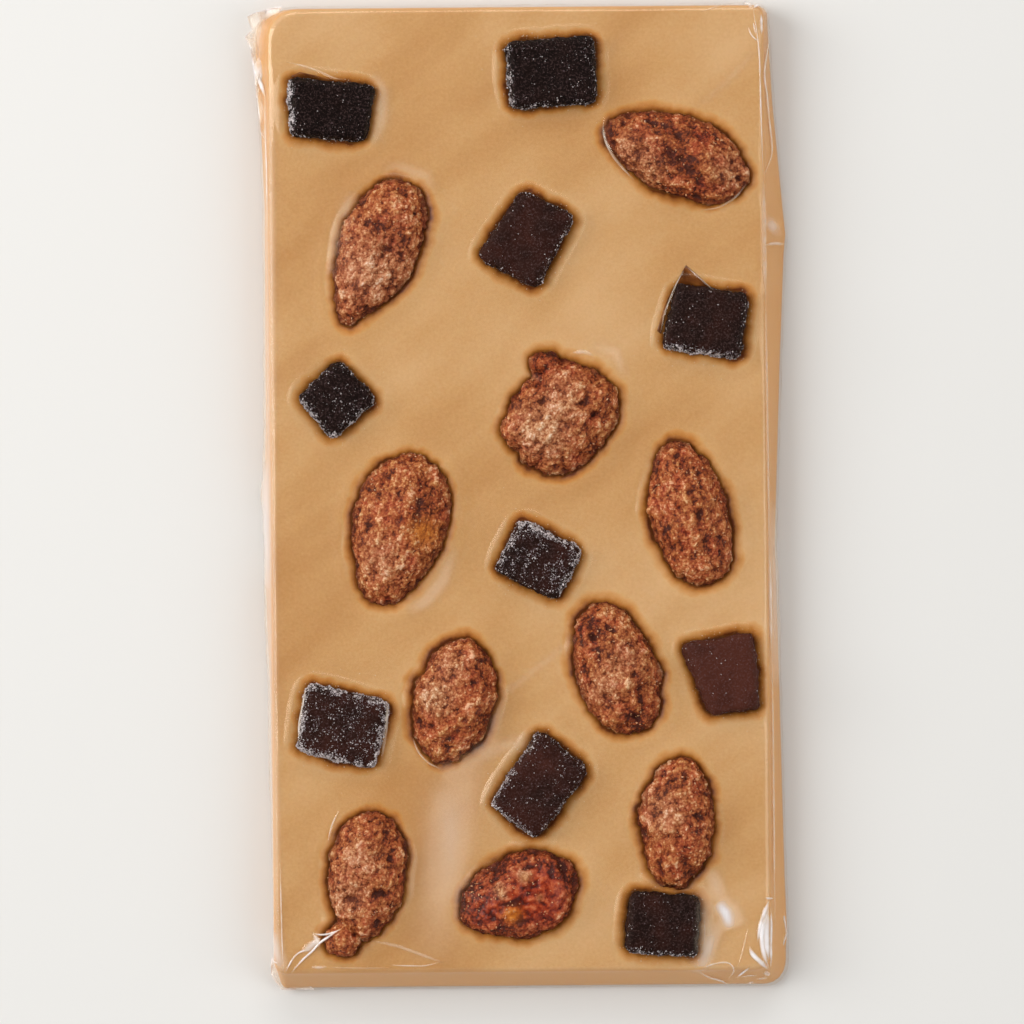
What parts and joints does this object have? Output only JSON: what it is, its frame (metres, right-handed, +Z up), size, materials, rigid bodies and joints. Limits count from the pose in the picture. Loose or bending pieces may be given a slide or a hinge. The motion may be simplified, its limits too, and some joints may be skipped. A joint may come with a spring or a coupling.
{
  "type": "chocolate bar",
  "caption": "Flat caramelised white chocolate bar with sugar-crusted almonds and sugared fruit jellies pressed into its face, shut in tight clear film; lies flat, face up.",
  "frame": {"origin": "centre of the wrapped bar's box, on the surface it rests on", "axes": "+Y along the bar, +X across it, +Z up out of the face that holds the toppings"},
  "size_m": [0.0858, 0.1556, 0.0131],
  "materials": {
    "chocolate": "satin, smooth, caramel coloured white chocolate",
    "almond": "rough crust of cooked sugar, red-brown with golden grains",
    "jelly": "dark purple-brown fruit jelly with white sugar crystals",
    "film": "clear glossy film, creased at the corners"
  },
  "bodies": {
    "root": {"bar": "chocolate", "almond_01": "almond", "almond_02": "almond", "almond_03": "almond", "almond_04": "almond", "almond_05": "almond", "almond_06": "almond", "almond_07": "almond", "almond_08": "almond", "almond_09": "almond", "almond_10": "almond", "jelly_01": "jelly", "jelly_02": "jelly", "jelly_03": "jelly", "jelly_04": "jelly", "jelly_05": "jelly", "jelly_06": "jelly", "jelly_07": "jelly", "jelly_08": "jelly", "jelly_09": "jelly", "jelly_10": "jelly", "film": "film"}
  },
  "joints": []
}
